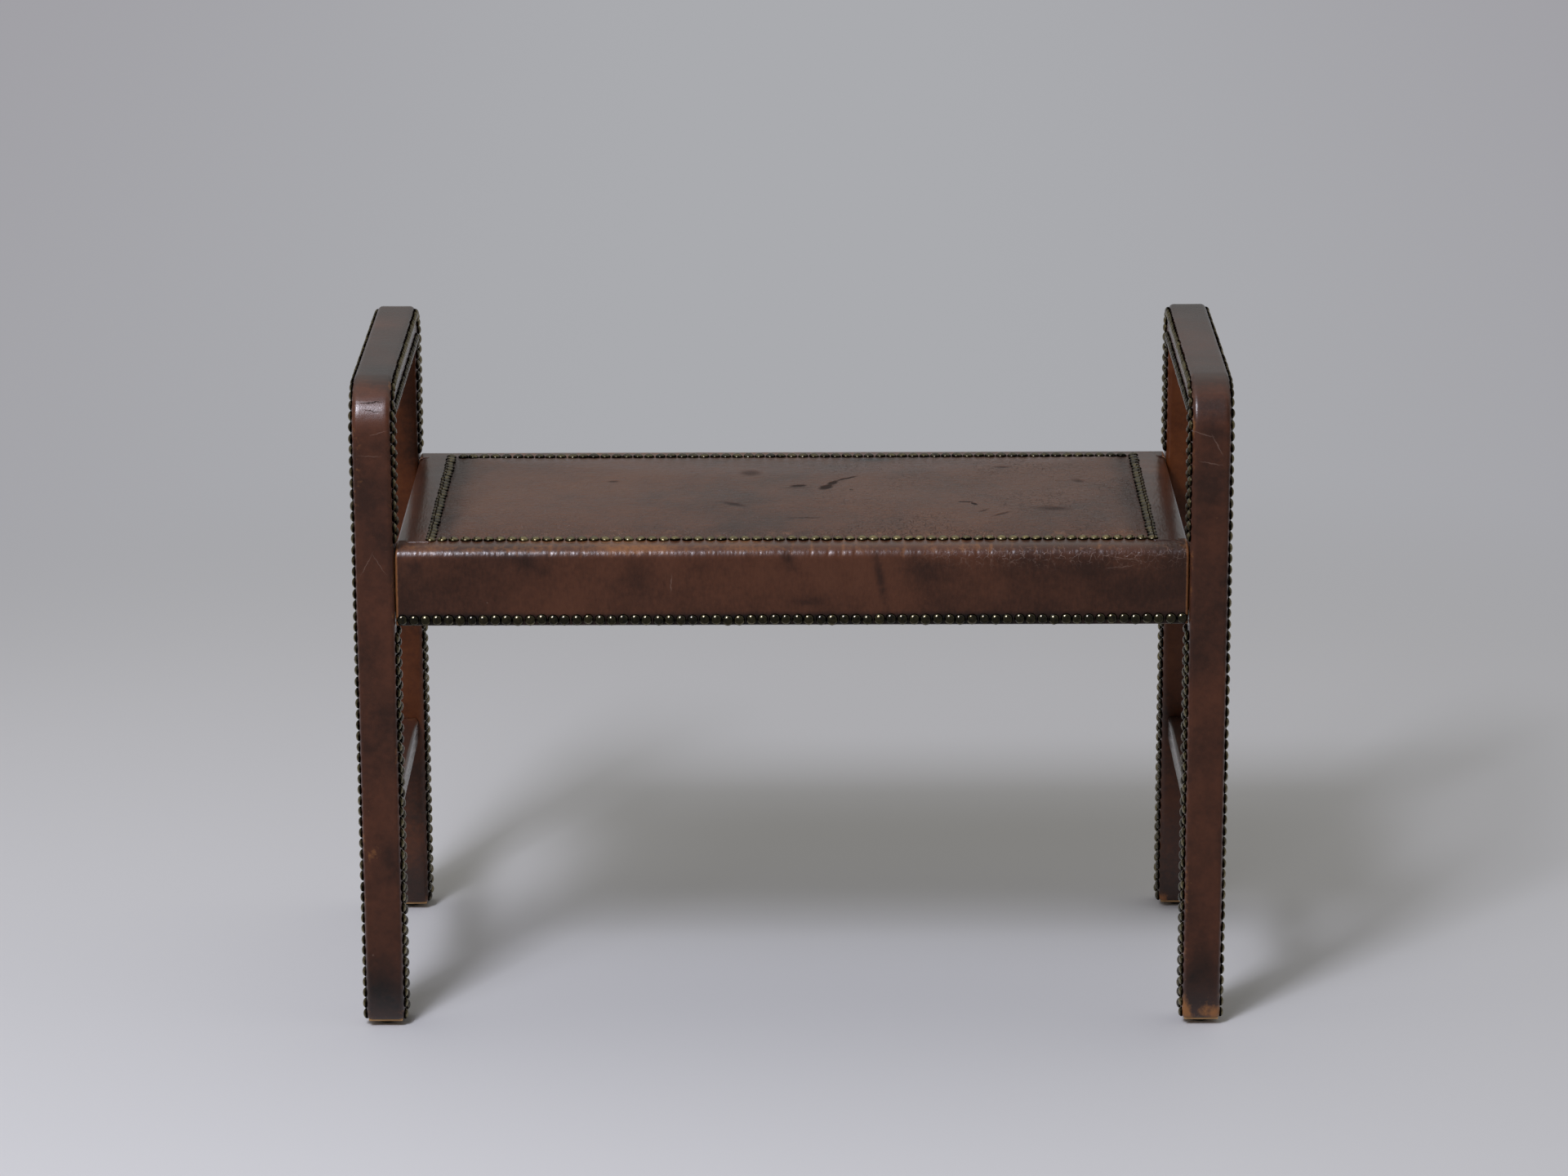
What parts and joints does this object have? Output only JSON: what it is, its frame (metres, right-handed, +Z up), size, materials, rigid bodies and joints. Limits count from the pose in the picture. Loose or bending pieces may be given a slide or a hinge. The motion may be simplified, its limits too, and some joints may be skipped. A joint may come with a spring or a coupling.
{
  "type": "upholstered footstool",
  "caption": "Low leather covered bench stool with arched side frames that serve as handles, a padded seat and domed nail trim.",
  "frame": {"origin": "on the floor, at the middle of the stool's length and depth", "axes": "+X along the seat to the right frame, +Y to the back, +Z up"},
  "size_m": [0.7506, 0.346, 0.575],
  "materials": {
    "frame_leather": "aged glossy dark brown leather",
    "seat_leather": "aged glossy brown leather with scuffs",
    "brass_nails": "dark antique brass",
    "steel_glides": "dull dark steel",
    "beech": "raw sawn beech",
    "jute": "woven jute",
    "stuffing": "curled hair stuffing",
    "black_cloth": "black cotton cloth"
  },
  "bodies": {
    "root": {"border_nails": "brass_nails", "corner_block_front_left": "beech", "corner_block_front_right": "beech", "corner_block_rear_left": "beech", "corner_block_rear_right": "beech", "dust_cover": "black_cloth", "front_apron_leather": "seat_leather", "front_apron_nails": "brass_nails", "hessian": "jute", "left_end_leather": "seat_leather", "left_front_glide": "steel_glides", "left_front_post": "beech", "left_inner_wrap": "frame_leather", "left_inside_edge_nails": "brass_nails", "left_inside_face_leather": "frame_leather", "left_inside_opening_nails": "brass_nails", "left_outer_wrap": "frame_leather", "left_outside_edge_nails": "brass_nails", "left_outside_face_leather": "frame_leather", "left_outside_opening_nails": "brass_nails", "left_rear_glide": "steel_glides", "left_rear_post": "beech", "left_stretcher": "beech", "left_stretcher_leather": "frame_leather", "left_top_rail": "beech", "rear_apron_leather": "seat_leather", "rear_apron_nails": "brass_nails", "right_end_leather": "seat_leather", "right_front_glide": "steel_glides", "right_front_post": "beech", "right_inner_wrap": "frame_leather", "right_inside_edge_nails": "brass_nails", "right_inside_face_leather": "frame_leather", "right_inside_opening_nails": "brass_nails", "right_outer_wrap": "frame_leather", "right_outside_edge_nails": "brass_nails", "right_outside_face_leather": "frame_leather", "right_outside_opening_nails": "brass_nails", "right_rear_glide": "steel_glides", "right_rear_post": "beech", "right_stretcher": "beech", "right_stretcher_leather": "frame_leather", "right_top_rail": "beech", "seat_front_rail": "beech", "seat_left_rail": "beech", "seat_panel_leather": "seat_leather", "seat_rear_rail": "beech", "seat_right_rail": "beech", "stuffing_pad": "stuffing", "webbing_cross_1": "jute", "webbing_cross_2": "jute", "webbing_cross_3": "jute", "webbing_cross_4": "jute", "webbing_cross_5": "jute", "webbing_long_1": "jute", "webbing_long_2": "jute"}
  },
  "joints": []
}
